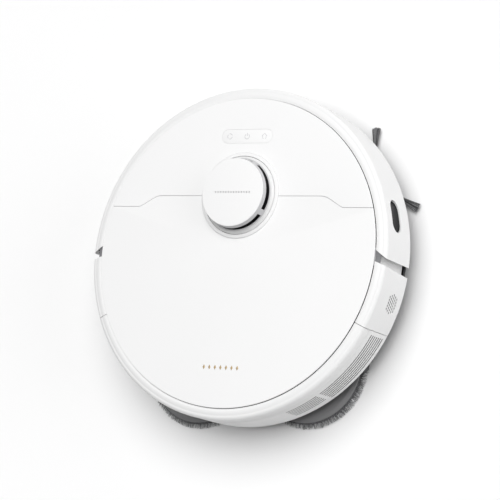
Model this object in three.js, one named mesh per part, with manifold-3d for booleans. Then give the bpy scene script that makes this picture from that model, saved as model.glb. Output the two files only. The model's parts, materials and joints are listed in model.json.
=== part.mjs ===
// Robot vacuum with mops: millimetres, +Z up, +Y towards the bumper, +X to the robot's right.
// Origin: centre of the round body, on the floor.
import * as THREE from 'three';
import { mergeVertices } from 'three/addons/utils/BufferGeometryUtils.js';
import Module from 'manifold-3d';

const wasm = await Module();
wasm.setup();

// ---- Driving dimensions ----------------------------------------------------------------
const BODY_R = 175;           // outer radius of bumper and shells
const WALL = 2.8;             // thickness of the outer walls
const WALL_BOTTOM = 24;       // lower edge of the outer walls
const TOP = 81;               // top face of the lid and the front cover
const RIM_TOP = 79.5;         // top face of the rim around the lid
const RIM_IN_R = 163.5;       // inner radius of that rim
const RIM_T = 2.3;            // its thickness
const DISC_R = 162.8;         // radius of lid and front cover
const DISC_SEAT_R = 158.4;    // inside this radius lid and cover are full thickness
const PAN_Z = 10;             // underside of the chassis pan
const PAN_T = 2.6;            // its thickness
const PAN_R = 171;            // top of its bevelled edge
const PAN_FLAT_R = 157;       // end of its flat bottom
const DECK_Z = 75.5;          // underside of the deck below the lid
const DECK_T = 2;
const GAP = 0.3;              // clearance between pieces that touch

const SPLIT_Y = 58.8;         // middle of the seam between lid and front cover
const SPLIT_SIDE_Y = 47;      // the same seam near the sides
const SPLIT_X = [100.5, 121.2];

const TURRET = { x: 0, y: 59.3, ringR: 45.75, footR: 41.3, capR: 39.2, topR: 35.9, top: 96.9 };
const BUTTONS = { x: 0.7, y: 122.2, w: 61, h: 15.6 };
const ROLLER = { y: 8, z: 25, r: 20, half: 76 };
const HEAD = { x: 83, y0: -21.5, y1: 37.5, z0: 6, z1: 47 };
const WHEEL = { x0: 115.5, x1: 137.5, y: -8, r: 36 };
const PIVOT = { y: 32, z: 44 };
const MOP = { padR: 63.4, plateR: 57.5, recessR: 69, roofZ: 21.2 };
const MOP_RIGHT = [62, -104.1];
const MOP_LEFT = [-66.9, -110.3];
const CASTER = { y: 125, wheelR: 15, trail: 7 };
const SIDE_BRUSH = { x: 114.5, y: 88.9, tipR: 61 };
const BIN = { x: 70, y0: -76, y1: -22.5, z0: 30, z1: 70 };
const FAN = { x: 108, y: -80, r: 25, z0: 42, z1: 72 };

// ---- Materials -------------------------------------------------------------------------
const finish = (color, roughness, metalness = 0) =>
  new THREE.MeshStandardMaterial({ color, roughness, metalness });
const WHITE = finish(0xf4f4f4, 0.35);
const PALE = finish(0xdedede, 0.5);
const GREY = finish(0x9b9b9d, 0.55);
const DARK = finish(0x2c2d2f, 0.5);
const BLACK_GLOSS = finish(0x08080a, 0.08);
const RUBBER = finish(0x1d1d1f, 0.8);
const STEEL = finish(0xb9bbbd, 0.3, 1);
const FELT = finish(0x55565a, 0.95);
const BRISTLE = finish(0x3a3a3c, 0.8);
const TINT = finish(0x6b6d72, 0.2);
const GREEN = finish(0x1f5b3a, 0.5);
const BLUE = finish(0x2b5fa8, 0.45);

// ---- Shape helpers ---------------------------------------------------------------------
const rad = THREE.MathUtils.degToRad;
const vec = ([x, y]) => new THREE.Vector2(x, y);
const polar = (r, degrees) => [r * Math.cos(rad(degrees)), r * Math.sin(rad(degrees))];

// A closed three.js geometry as a solid, with its vertices shared and slivers dropped.
const solidOf = (geometry) => {
  const bare = geometry.clone();
  bare.deleteAttribute('normal');
  bare.deleteAttribute('uv');
  const merged = mergeVertices(bare, 1e-4);
  const index = merged.index.array;
  const triVerts = [];
  for (let i = 0; i < index.length; i += 3) {
    const [a, b, c] = [index[i], index[i + 1], index[i + 2]];
    if (a !== b && b !== c && c !== a) triVerts.push(a, b, c);
  }
  return new wasm.Manifold(new wasm.Mesh({
    numProp: 3,
    vertProperties: new Float32Array(merged.attributes.position.array),
    triVerts: new Uint32Array(triVerts),
  }));
};

const geometryOf = (solid) => {
  const { vertProperties, triVerts } = solid.getMesh();
  const geometry = new THREE.BufferGeometry();
  geometry.setAttribute('position', new THREE.BufferAttribute(vertProperties, 3));
  geometry.setIndex(new THREE.BufferAttribute(triVerts, 1));
  geometry.computeVertexNormals();
  return geometry;
};

const join = (first, ...rest) => rest.reduce((sum, part) => sum.add(part), first);
const cut = (first, ...rest) => rest.reduce((left, tool) => left.subtract(tool), first);

const block = (x0, x1, y0, y1, z0, z1) =>
  solidOf(new THREE.BoxGeometry(x1 - x0, y1 - y0, z1 - z0)
    .translate((x0 + x1) / 2, (y0 + y1) / 2, (z0 + z1) / 2));

// Turned part about the Z axis through (x, y). The profile [r, z] runs up its outer side.
const turned = (profile, segments, x = 0, y = 0) =>
  solidOf(new THREE.LatheGeometry(profile.map(vec), segments)
    .rotateX(Math.PI / 2).translate(x, y, 0));

const tube = (rIn, rOut, z0, z1, segments, x = 0, y = 0) =>
  turned([[rIn, z0], [rOut, z0], [rOut, z1], [rIn, z1], [rIn, z0]], segments, x, y);

const disc = (r, z0, z1, segments, x = 0, y = 0) =>
  turned([[0, z0], [r, z0], [r, z1], [0, z1]], segments, x, y);

// Round bar along X from x0 to x1.
const barX = (r, x0, x1, y, z, segments = 20) =>
  solidOf(new THREE.CylinderGeometry(r, r, x1 - x0, segments)
    .rotateZ(Math.PI / 2).translate((x0 + x1) / 2, y, z));

const barY = (r, y0, y1, x, z, segments = 20) =>
  solidOf(new THREE.CylinderGeometry(r, r, y1 - y0, segments)
    .translate(x, (y0 + y1) / 2, z));

// Flat outline in plan, from z0 up to z1.
const plate = (points, z0, z1) =>
  solidOf(new THREE.ExtrudeGeometry(new THREE.Shape(points.map(vec)),
    { depth: z1 - z0, bevelEnabled: false }).translate(0, 0, z0));

// Outline in the Y-Z plane, from x0 to x1.
const profileX = (points, x0, x1) =>
  solidOf(new THREE.ExtrudeGeometry(new THREE.Shape(points.map(vec)),
    { depth: x1 - x0, bevelEnabled: false })
    .rotateX(Math.PI / 2).rotateZ(Math.PI / 2).translate(x0, 0, 0));

const arc = (cx, cy, r, from, to, steps) =>
  Array.from({ length: steps + 1 }, (_, i) => {
    const [x, y] = polar(r, from + (to - from) * i / steps);
    return [cx + x, cy + y];
  });

// Stadium of length w and height h, lying in plan.
const stadium = (cx, cy, w, h, steps = 8) => [
  ...arc(cx + (w - h) / 2, cy, h / 2, -90, 90, steps),
  ...arc(cx - (w - h) / 2, cy, h / 2, 90, 270, steps),
];

// A piece standing up against the wall at an angle: made along +X, then turned about Z.
const turnedTo = (geometry, degrees) => solidOf(geometry.rotateZ(rad(degrees)));
const wallBlock = (r0, r1, width, z0, z1, degrees) =>
  turnedTo(new THREE.BoxGeometry(r1 - r0, width, z1 - z0)
    .translate((r0 + r1) / 2, 0, (z0 + z1) / 2), degrees);
const wallStadium = (r0, r1, width, height, z, degrees) =>
  turnedTo(new THREE.ExtrudeGeometry(new THREE.Shape(stadium(0, 0, width, height, 6).map(vec)),
    { depth: r1 - r0, bevelEnabled: false })
    .rotateX(Math.PI / 2).rotateZ(Math.PI / 2).translate(r0, 0, z), degrees);

// The angular part of a ring from one angle to the other, counter-clockwise.
const wedge = (from, to) => plate([[0, 0], ...arc(0, 0, 260, from, to, 12)], -5, 120);

const robot = new THREE.Group();
const add = (name, solid, material, parent = robot) => {
  const mesh = new THREE.Mesh(geometryOf(solid), material);
  mesh.name = name;
  parent.add(mesh);
  return mesh;
};

const SIDES = [['left', -1], ['right', 1]];
const mirrored = (side, x0, x1) => (side > 0 ? [x0, x1] : [-x1, -x0]);
const mopCentre = (side) => (side > 0 ? MOP_RIGHT : MOP_LEFT);

// ---- Chassis pan -----------------------------------------------------------------------
const chassis = () => {
  const bevelIn = PAN_T * 0.45;
  const pan = turned([
    [0, PAN_Z], [PAN_FLAT_R, PAN_Z], [PAN_R, WALL_BOTTOM - GAP],
    [PAN_R - PAN_T, WALL_BOTTOM - GAP], [PAN_FLAT_R - bevelIn, PAN_Z + PAN_T], [0, PAN_Z + PAN_T],
  ], 60);
  const edge = disc(PAN_R, PAN_Z, WALL_BOTTOM - GAP, 60);
  let body = pan;
  for (const [, side] of SIDES) {
    const dome = disc(MOP.recessR + PAN_T, PAN_Z, WALL_BOTTOM - GAP, 36, ...mopCentre(side));
    body = body.add(dome.intersect(edge));
  }
  for (const [, side] of SIDES) {
    body = cut(body, disc(MOP.recessR, 0, MOP.roofZ, 36, ...mopCentre(side)));
    body = cut(body, disc(16.5, 0, 30, 20, ...mopCentre(side)));
    const [x0, x1] = mirrored(side, 95.5, 141);
    body = cut(body, block(x0, x1, -48, 45, 0, 30));
  }
  return cut(body,
    block(-HEAD.x - 1.5, HEAD.x + 1.5, HEAD.y0 - 1.5, HEAD.y1 + 1.5, 0, 30),
    disc(26.5, 0, 30, 24, 0, CASTER.y),
    disc(8, 0, 30, 16, SIDE_BRUSH.x, SIDE_BRUSH.y));
};

// ---- Deck under the lid ----------------------------------------------------------------
const topDeck = () => cut(
  disc(158, DECK_Z, DECK_Z + DECK_T, 48),
  block(-BIN.x - 1, BIN.x + 1, BIN.y0 - 1, BIN.y1 + 1, 60, 90),
  disc(43.5, 60, 90, 32, TURRET.x, TURRET.y),
  block(-36, 37, 111, 133.5, 60, 90));

// Inner wall that the bumper slides over, open behind both windows.
const bumperGuide = () => cut(
  tube(164.2, 166.8, WALL_BOTTOM + GAP, RIM_TOP - 2.6, 60).intersect(wedge(-5.5, 185.5)),
  wallBlock(150, 180, 88, 38, 64, 90),
  wallBlock(150, 180, 44, 46, 64, 14.5));

// ---- Outer shells: an upright wall with a rim turned inwards at the top -------------------
// The shoulder is rounded up to a crease, where the rim starts at a slope.
const SHOULDER_R = 11.3;
const CREASE_ANGLE = 52;
const SHOULDER_Z = RIM_TOP - SHOULDER_R * Math.sin(rad(CREASE_ANGLE));
const SHOULDER = arc(BODY_R - SHOULDER_R, SHOULDER_Z, SHOULDER_R, 0, CREASE_ANGLE, 3);
const shellRing = (wallLine = []) => turned([
  [BODY_R - WALL, WALL_BOTTOM], [BODY_R, WALL_BOTTOM], ...wallLine, ...SHOULDER,
  [RIM_IN_R, RIM_TOP], [RIM_IN_R, RIM_TOP - RIM_T],
  [BODY_R - WALL, RIM_TOP - RIM_T], [BODY_R - WALL, WALL_BOTTOM],
], 72);

// The bumper ends on a slant: (164.6, 3.4) at the disc edge, (175, -4) on the wall.
const bumperEnds = () => plate([
  [-200, 260], [-200, -4], [-BODY_R, -4], [-164.6, 3.4], [-150, 3.4],
  [150, 3.4], [164.6, 3.4], [BODY_R, -4], [200, -4], [200, 260],
], 0, 100);
const SENSOR = { degrees: 14.5, width: 34.5, height: 19.5, z: 55 };
const FRONT_WINDOW = { width: 84, height: 24, z: 51 };

const bumper = () => cut(
  shellRing().intersect(bumperEnds()),
  wallStadium(150, 190, SENSOR.width, SENSOR.height, SENSOR.z, SENSOR.degrees),
  wallStadium(150, 190, FRONT_WINDOW.width, FRONT_WINDOW.height, FRONT_WINDOW.z, 90));

const shellEnds = () => plate([
  [-200, -14], [-BODY_R, -12.6], [-164.9, -6.7], [-150, -6.7],
  [150, -6.7], [164.9, -6.7], [BODY_R, -12.6], [200, -14], [200, -260], [-200, -260],
].reverse(), 0, 100);
// The rear cover has a shallow cove between its rim and the vents.
const COVE = [[BODY_R, 57], [BODY_R - 1.1, 63.5]];
const REAR_SEAMS = [-154.8, -25.1];
const SEAM = 0.1;               // half of the seam's width, in degrees

// Rows of short slanted slots that fill a circle in front of the speaker.
const SPEAKER = { degrees: -14.7, z: 44.4, r: 10.4, pitch: 3.1, rowPitch: 3.8 };
const SPEAKER_SLOT = { length: 2.8, width: 1.3, tilt: 32 };
const speakerSlots = () => {
  const { r, pitch, rowPitch } = SPEAKER;
  const slots = [];
  for (let row = -2; row <= 2; row += 1) {
    for (let u = -3.5 + (row % 2) / 2; u <= 3.5; u += 1) {
      if (Math.hypot(u * pitch, row * rowPitch) < r) slots.push([u * pitch, row * rowPitch]);
    }
  }
  const { length, width, tilt } = SPEAKER_SLOT;
  return slots.map(([u, z]) => turnedTo(new THREE.BoxGeometry(WALL * 3, length, width)
    .rotateX(rad(tilt)).translate(BODY_R, u, SPEAKER.z + z), SPEAKER.degrees));
};

const VENTS = [
  { from: -53.2, to: -26.6, count: 7, z0: 30.5 },
  { from: -67, to: -54.6, count: 6, z0: 34.6 },
];
const VENT_PITCH = 4.1;
const VENT_H = 2.3;
const vents = () => VENTS.flatMap(({ from, to, count, z0 }) =>
  Array.from({ length: count }, (_, i) => {
    const z = z0 + i * VENT_PITCH;
    return plate([[0, 0], polar(260, from), polar(260, to)], z, z + VENT_H);
  }));

// ---- Lid and front cover ---------------------------------------------------------------
const coverDisc = () => turned([
  [0, DECK_Z + DECK_T + GAP], [DISC_SEAT_R, DECK_Z + DECK_T + GAP], [DISC_SEAT_R, RIM_TOP + 0.4],
  [DISC_R, RIM_TOP + 0.4], [DISC_R, TOP], [0, TOP],
], 72);
const seam = (offset) => [
  [-200, SPLIT_SIDE_Y + offset], [-SPLIT_X[1], SPLIT_SIDE_Y + offset],
  [-SPLIT_X[0], SPLIT_Y + offset], [SPLIT_X[0], SPLIT_Y + offset],
  [SPLIT_X[1], SPLIT_SIDE_Y + offset], [200, SPLIT_SIDE_Y + offset],
];
const turretHole = () => disc(TURRET.ringR + GAP, 70, 100, 36, TURRET.x, TURRET.y);

const frontCover = () => cut(
  coverDisc().intersect(plate([...seam(0.2), [200, 200], [-200, 200]], 60, 100)),
  turretHole(),
  plate(stadium(BUTTONS.x, BUTTONS.y, BUTTONS.w, BUTTONS.h), 60, 100));

const topLid = () => cut(
  coverDisc().intersect(plate([...seam(-0.2).reverse(), [-200, -200], [200, -200]], 60, 100)),
  turretHole());

// ---- Turret ------------------------------------------------------------------------------
const turretRing = () => turned([
  [41.8, 78.1], [TURRET.ringR, 78.1], [TURRET.ringR, TOP + 0.2], [TURRET.ringR - 0.9, TOP + 1.2],
  [41.8, TOP + 1.2], [41.8, 78.1],
], 36, TURRET.x, TURRET.y);

const POSTS = [-31, 59, 149, 239];    // middles of the posts between the laser's windows
const POST_W = 10;                    // width of a post in degrees
const turretCap = () => {
  const shell = turned([
    [37.6, 80.6], [TURRET.footR, 80.6], [TURRET.footR, 81.4], [TURRET.capR, 82.4],
    [TURRET.topR, 95.4], [TURRET.topR - 0.6, TURRET.top],
    [0, TURRET.top], [0, 94.9], [33.9, 94.9], [37.6, 80.6],
  ], 40, TURRET.x, TURRET.y);
  const windows = POSTS.map((post, i) => {
    const next = POSTS[(i + 1) % POSTS.length] + (i === POSTS.length - 1 ? 360 : 0);
    const slot = plate([[0, 0], ...arc(0, 0, 60, post + POST_W / 2, next - POST_W / 2, 2)], 85.6, 91.4);
    return slot.translate([TURRET.x, TURRET.y, 0]);
  });
  return cut(shell, ...windows);
};

// Spinning laser head and the fixed base that drives it.
const lidarRotor = () => cut(
  turned([[0, 76], [5, 76], [5, 80.4], [30, 80.4], [31.5, 82], [31.5, 92.6], [0, 92.6]],
    28, TURRET.x, TURRET.y),
  block(-12, 12, TURRET.y + 26, TURRET.y + 40, 84.5, 91));
const lidarBase = () => cut(
  turned([[0, 58], [36, 58], [36, 74], [39.4, 74], [39.4, 79.3], [0, 79.3]],
    28, TURRET.x, TURRET.y),
  disc(5.4, 75.7, 90, 16, TURRET.x, TURRET.y));

// ---- Button strip ------------------------------------------------------------------------
const buttonCarrier = () => join(
  block(BUTTONS.x - 33, BUTTONS.x + 33, BUTTONS.y - 9, BUTTONS.y + 9, 75.3, 76.8),
  block(BUTTONS.x - 0.8, BUTTONS.x + 0.8, BUTTONS.y - 6, BUTTONS.y + 6, 76.7, 77.6));
const buttonStrip = () => plate(
  stadium(BUTTONS.x, BUTTONS.y, BUTTONS.w - 0.9, BUTTONS.h - 0.9), 77.9, TOP + 0.1);

// ---- Drive wheels ------------------------------------------------------------------------
const wheelBracket = (side) => {
  const [in0, in1] = mirrored(side, 91.5, 94.8);
  const [out0, out1] = mirrored(side, 111.2, 114);
  const [web0, web1] = mirrored(side, 91.5, 114);
  const [pin0, pin1] = mirrored(side, 91.6, 113.9);
  const ear = [
    ...arc(PIVOT.y, PIVOT.z, 8, 20, 200, 8), [PIVOT.y - 4, PIVOT.z - 11], [47, PIVOT.z - 16], [47, 47],
  ];
  return join(
    profileX(ear, in0, in1),
    profileX(ear, out0, out1),
    block(web0, web1, 46.2, 50, PAN_Z + PAN_T + GAP, 47),
    barX(3, pin0, pin1, PIVOT.y, PIVOT.z, 16));
};
const wheelArm = (side) => {
  const [x0, x1] = mirrored(side, 97, 110);
  const outline = [
    ...arc(WHEEL.y, WHEEL.r, 15, 110, 300, 12),
    ...arc(PIVOT.y, PIVOT.z, 10, -70, 100, 8),
  ];
  const [m0, m1] = mirrored(side, 99, 108);
  return join(
    cut(profileX(outline, x0, x1), barX(3.4, x0 - 1, x1 + 1, PIVOT.y, PIVOT.z, 16)),
    block(m0, m1, -22, -4, 48, 61),
    barY(7.5, -38, 16, side * 103.5, 66, 16));
};
const wheelHub = (side) => {
  const [x0, x1] = mirrored(side, WHEEL.x0 + 0.5, WHEEL.x1 - 0.5);
  const [s0, s1] = mirrored(side, 110.4, WHEEL.x0 + 1);
  const [d0, d1] = mirrored(side, WHEEL.x1 - 6, WHEEL.x1 + 2);
  return cut(
    join(barX(29.6, x0, x1, WHEEL.y, WHEEL.r, 28), barX(5, s0, s1, WHEEL.y, WHEEL.r, 12)),
    barX(23, d0, d1, WHEEL.y, WHEEL.r, 24));
};
const TREADS = 20;
const wheelTyre = (side) => {
  const [x0, x1] = mirrored(side, WHEEL.x0, WHEEL.x1);
  const lug = [[WHEEL.r, -5], [WHEEL.r, 5], [WHEEL.r - 1.6, 9]];
  const outline = Array.from({ length: TREADS }, (_, i) =>
    lug.map(([r, a]) => polar(r, a + i * 360 / TREADS))).flat()
    .map(([y, z]) => [y + WHEEL.y, z + WHEEL.r]);
  return cut(profileX(outline, x0, x1), barX(30, x0 - 1, x1 + 1, WHEEL.y, WHEEL.r, 28));
};
// Torsion spring wound around the pivot, inboard of the bracket.
const suspensionSpring = (side) => {
  const turns = 3;
  const steps = 24;
  const coil = Array.from({ length: steps + 1 }, (_, i) => {
    const [y, z] = polar(6, i / steps * turns * 360);
    return new THREE.Vector3(side * (85.5 + i / steps * 4.5), PIVOT.y + y, PIVOT.z + z);
  });
  const wire = new THREE.Shape(arc(0, 0, 0.7, 0, 270, 3).map(vec));
  return solidOf(new THREE.ExtrudeGeometry(wire,
    { steps: 26, bevelEnabled: false, extrudePath: new THREE.CatmullRomCurve3(coil) }));
};

// ---- Main brush --------------------------------------------------------------------------
const brushHousing = () => join(
  cut(
    block(-HEAD.x, HEAD.x, HEAD.y0, HEAD.y1, HEAD.z0, HEAD.z1),
    barX(22.5, -79, 79, ROLLER.y, ROLLER.z - 0.5, 32),
    block(-79, 79, ROLLER.y - 22.5, ROLLER.y + 22.5, 0, ROLLER.z - 0.5),
    block(-30, 30, HEAD.y0 - 3, ROLLER.y, 33, 43),
    barX(4, -90, 90, ROLLER.y, ROLLER.z, 16)),
  block(-89, -82, -6, 22, 13, 16),
  block(82, 89, -6, 22, 13, 16));
const rollerCore = () => join(
  barX(8, -ROLLER.half, ROLLER.half, ROLLER.y, ROLLER.z, 20),
  barX(3.6, -HEAD.x + 0.5, HEAD.x - 0.5, ROLLER.y, ROLLER.z, 16));
const FINS = 6;
const rollerFins = () => {
  const fin = [[11, -22], [12, -9], [ROLLER.r, -3.4], [ROLLER.r, 3.4], [12, 9], [11, 22]];
  const outline = Array.from({ length: FINS }, (_, i) =>
    fin.map(([r, a]) => polar(r, a + i * 360 / FINS))).flat()
    .map(([y, z]) => [y + ROLLER.y, z + ROLLER.z]);
  const reach = ROLLER.half - 1;
  return cut(profileX(outline, -reach, reach),
    barX(8.4, -reach - 1, reach + 1, ROLLER.y, ROLLER.z, 20));
};
const GUARD = { z0: 3.2, z1: 5.7 };
const LATCH_X = [42, 54];
const brushGuard = () => {
  const { x, y0, y1 } = HEAD;
  const outline = [[-x, y0], [x, y0], [x, y1 - 6], [x - 6, y1], [6 - x, y1], [-x, y1 - 6]];
  const frame = cut(
    plate(outline, GUARD.z0, GUARD.z1),
    block(-76, 76, ROLLER.y - 19.5, ROLLER.y + 19.5, 0, 10));
  const bars = [-38, 0, 38].map((x) =>
    block(x - 1.2, x + 1.2, ROLLER.y - 21, ROLLER.y + 21, GUARD.z0, GUARD.z0 + 1.4));
  const slots = SIDES.map(([, side]) => {
    const [x0, x1] = mirrored(side, ...LATCH_X);
    return block(x0, x1, 30.2, 35.4, 0, 10);
  });
  return cut(join(frame, ...bars), ...slots);
};
const guardLatch = (side) => {
  const [x0, x1] = mirrored(side, LATCH_X[0] + 3, LATCH_X[1] - 0.4);
  return block(x0, x1, 30.6, 35, GUARD.z0 + 0.2, GUARD.z1 - 0.3);
};
const brushMotor = () => join(
  barX(11.5, -67, -36, 51, 34, 20),
  block(-91.2, -66.5, 39, 61, 22, 45),
  block(-91.2, -83.3, 0, 61, 22, 33));

// ---- Caster ------------------------------------------------------------------------------
const casterSocket = () => cut(
  turned([
    [26.5, PAN_Z + PAN_T + GAP], [30.5, PAN_Z + PAN_T + GAP], [30.5, 38], [0, 38], [0, 35],
    [26.5, 35], [26.5, PAN_Z + PAN_T + GAP],
  ], 24, 0, CASTER.y),
  disc(4.3, 30, 50, 16, 0, CASTER.y));
const casterFork = () => {
  const y = CASTER.y - CASTER.trail;
  const cheek = [[y - 5, 12], [y + 5, 12], [y + 9, 32], [y - 9, 32]];
  return cut(
    join(
      disc(24.5, 31.2, 34.2, 28, 0, CASTER.y),
      disc(4, 34, 45, 16, 0, CASTER.y),
      profileX(cheek, -11, -8.3), profileX(cheek, 8.3, 11)),
    barX(2.1, -12, 12, y, CASTER.wheelR, 12));
};
const casterAxle = () => barX(1.8, -11.4, 11.4, CASTER.y - CASTER.trail, CASTER.wheelR, 12);
const casterWheel = () => cut(
  barX(CASTER.wheelR, -7.6, 7.6, CASTER.y - CASTER.trail, CASTER.wheelR, 32),
  barX(2.1, -9, 9, CASTER.y - CASTER.trail, CASTER.wheelR, 12));

// ---- Side brush --------------------------------------------------------------------------
const ARMS = [94, 214, 334];
const armBlock = (x0, x1, w, z0, z1, degrees) =>
  solidOf(new THREE.BoxGeometry(x1 - x0, w, z1 - z0).translate((x0 + x1) / 2, 0, (z0 + z1) / 2)
    .rotateZ(rad(degrees)).translate(SIDE_BRUSH.x, SIDE_BRUSH.y, 0));
const sideBrushMotor = () => cut(
  turned([
    [0, PAN_Z + PAN_T + GAP], [9, PAN_Z + PAN_T + GAP], [9, 25], [16.5, 25], [16.5, 42], [0, 42],
  ], 20, SIDE_BRUSH.x, SIDE_BRUSH.y),
  disc(3.4, 0, 30, 16, SIDE_BRUSH.x, SIDE_BRUSH.y));
const sideBrushHub = () => join(
  disc(12, 5.4, 9.2, 24, SIDE_BRUSH.x, SIDE_BRUSH.y),
  disc(3, 9, 24, 12, SIDE_BRUSH.x, SIDE_BRUSH.y),
  ...ARMS.map((a) => armBlock(6, 27, 8, 5.4, 8.4, a)));
const TUFT = [[4, -2.5], [24, -2.5], [SIDE_BRUSH.tipR, -5], [SIDE_BRUSH.tipR, 5], [24, 2.5], [4, 2.5]];
const sideBrushBristles = () => join(
  disc(9, 3, 5.1, 20, SIDE_BRUSH.x, SIDE_BRUSH.y),
  ...ARMS.map((a) => solidOf(new THREE.ExtrudeGeometry(
    new THREE.Shape(TUFT.map(vec)), { depth: 2.1, bevelEnabled: false })
    .rotateZ(rad(a)).translate(SIDE_BRUSH.x, SIDE_BRUSH.y, 3))));

// ---- Mops --------------------------------------------------------------------------------
// One gearbox drives both mops; each carrier slides up and down in it.
const mopGearbox = () => {
  const floor = WALL_BOTTOM;
  const [[leftX, leftY], [rightX, rightY]] = [MOP_LEFT, MOP_RIGHT];
  let box = plate([
    [leftX, leftY - 14], [rightX, rightY - 14], [rightX, rightY + 14], [leftX, leftY + 14],
  ], floor, 40);
  for (const [, side] of SIDES) box = box.add(disc(28, floor, 40, 24, ...mopCentre(side)));
  for (const [, side] of SIDES) box = cut(box, disc(16.5, 0, 60, 20, ...mopCentre(side)));
  return box;
};
const mopCarrier = (side) => tube(6.2, 16, 22, 40, 20, ...mopCentre(side));
const mopPlate = (side) => turned([
  [0, 7], [MOP.plateR, 7], [MOP.plateR, 9.4], [13, 9.4], [13, 12.8], [5.8, 12.8],
  [5.8, 38], [0, 38],
], 28, ...mopCentre(side));
const mopPad = (side) => turned([
  [0, 0], [MOP.padR - 3, 0], [MOP.padR, 2.4], [MOP.padR - 2, 6.7], [0, 6.7],
], 36, ...mopCentre(side));

// ---- Dust bin, fan, tank and electronics ----------------------------------------------------
const dustBin = () => cut(
  block(-BIN.x, BIN.x, BIN.y0, BIN.y1, BIN.z0, BIN.z1),
  block(-BIN.x + 2, BIN.x - 2, BIN.y0 + 2, BIN.y1 - 2, BIN.z0 + 2, BIN.z1 + 5),
  block(-28, 28, BIN.y1 - 5, BIN.y1 + 5, 34, 43));
const binCover = () => cut(
  block(-BIN.x, BIN.x, BIN.y0, BIN.y1, BIN.z1 + GAP, 76.8),
  block(-26, 26, -60, -38, 71.6, 80));
const binFilter = () => block(30, BIN.x - 2.4, BIN.y0 + 2.4, BIN.y1 - 2.4, 55, BIN.z1 - GAP);

const fanHousing = () => cut(
  join(disc(FAN.r, FAN.z0, FAN.z1, 28, FAN.x, FAN.y),
    block(FAN.x + 4, FAN.x + 26, FAN.y - 22, FAN.y - 8, 46, 66)),
  disc(FAN.r - 2, 56, FAN.z1 + 5, 28, FAN.x, FAN.y),
  block(FAN.x + 4, FAN.x + 40, FAN.y - 20, FAN.y - 10, 57, 64),
  disc(4, 50, 60, 16, FAN.x, FAN.y));
const BLADES = 9;
const fanImpeller = () => join(
  disc(21, 57, 58.6, 28, FAN.x, FAN.y),
  disc(7, 58, 70, 16, FAN.x, FAN.y),
  disc(3.6, 51, 58, 12, FAN.x, FAN.y),
  ...Array.from({ length: BLADES }, (_, i) =>
    solidOf(new THREE.BoxGeometry(15, 1.2, 10).rotateZ(0.7).translate(12.5, 0, 63)
      .rotateZ(rad(i * 360 / BLADES)).translate(FAN.x, FAN.y, 0))));

const waterTank = () => {
  const outline = (inset) => [
    [-85 - inset, -54 - inset], [-85 - inset, -128 + inset],
    ...arc(0, 0, 159 - inset, 234.5, 200.5, 6), [-140 + inset, -54 - inset],
  ];
  return cut(plate(outline(0), 40, 73), plate(outline(2), 42, 71),
    disc(5, 60, 80, 16, -110, -80));
};

// Speaker cone housing facing the grille.
const speaker = () => {
  const along = (r, from, to) => new THREE.CylinderGeometry(r, r, to - from, 16)
    .rotateZ(Math.PI / 2).translate((from + to) / 2, 0, SPEAKER.z);
  return join(
    turnedTo(along(13, 156, 170.5), SPEAKER.degrees),
    turnedTo(along(9, 148, 157), SPEAKER.degrees));
};

// Leaf spring in the gap between the guide wall and the bumper, which it pushes forwards.
const bumperSpring = (side) => {
  const leaf = [polar(167.4, 50), polar(171.6, 62), polar(170.8, 62), polar(167, 50)];
  const outline = side > 0 ? leaf : leaf.map(([x, y]) => [-x, y]).reverse();
  return plate(outline, 58, 68);
};

// ---- Assembly ----------------------------------------------------------------------------
add('chassis', chassis(), DARK);
add('top_deck', topDeck(), PALE);
add('bumper_guide', bumperGuide(), WHITE);
add('bumper', bumper(), WHITE);
add('side_sensor_window', wallStadium(BODY_R - 3.4, BODY_R - 1.6, SENSOR.width - 0.8,
  SENSOR.height - 0.8, SENSOR.z, SENSOR.degrees), BLACK_GLOSS);
add('front_sensor_window', wallStadium(BODY_R - 9, BODY_R - 5.6, FRONT_WINDOW.width - 0.8,
  FRONT_WINDOW.height - 0.8, FRONT_WINDOW.z, 90), BLACK_GLOSS);
add('front_sensor_module', block(-34, 34, 142, 159, 42, 60), DARK);
add('side_shell_left', shellRing().intersect(shellEnds())
  .intersect(wedge(REAR_SEAMS[0] - 40, REAR_SEAMS[0] - SEAM)), WHITE);
add('side_shell_right', cut(shellRing().intersect(shellEnds())
  .intersect(wedge(REAR_SEAMS[1] + SEAM, REAR_SEAMS[1] + 40)), ...speakerSlots()), WHITE);
add('rear_cover', cut(shellRing(COVE)
  .intersect(wedge(REAR_SEAMS[0] + SEAM, REAR_SEAMS[1] - SEAM)), ...vents()), WHITE);
add('front_cover', frontCover(), WHITE);
add('top_lid', topLid(), WHITE);
add('turret_ring', turretRing(), WHITE);
add('turret_cap', turretCap(), WHITE);
add('lidar_rotor', lidarRotor(), BLACK_GLOSS);
add('lidar_base', lidarBase(), DARK);
add('button_carrier', buttonCarrier(), PALE);
add('button_strip', buttonStrip(), WHITE);
add('main_board', block(46, 98, 55, 112, 62, 63.6), GREEN);
add('battery', block(-112, -44, 66, 106, 14, 52), BLUE);
add('speaker', speaker(), DARK);
add('caster_socket', casterSocket(), DARK);
add('caster_fork', casterFork(), GREY);
add('caster_axle', casterAxle(), STEEL);
add('caster_wheel', casterWheel(), RUBBER);
add('brush_housing', brushHousing(), DARK);
add('roller_core', rollerCore(), GREY);
add('roller_fins', rollerFins(), RUBBER);
add('brush_guard', brushGuard(), DARK);
add('brush_motor', brushMotor(), STEEL);
add('side_brush_motor', sideBrushMotor(), DARK);
add('side_brush_hub', sideBrushHub(), DARK);
add('side_brush_bristles', sideBrushBristles(), BRISTLE);
add('mop_gearbox', mopGearbox(), DARK);
add('dust_bin', dustBin(), TINT);
add('bin_cover', binCover(), PALE);
add('bin_filter', binFilter(), WHITE);
add('fan_housing', fanHousing(), DARK);
add('fan_impeller', fanImpeller(), GREY);
add('water_tank', waterTank(), TINT);
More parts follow.
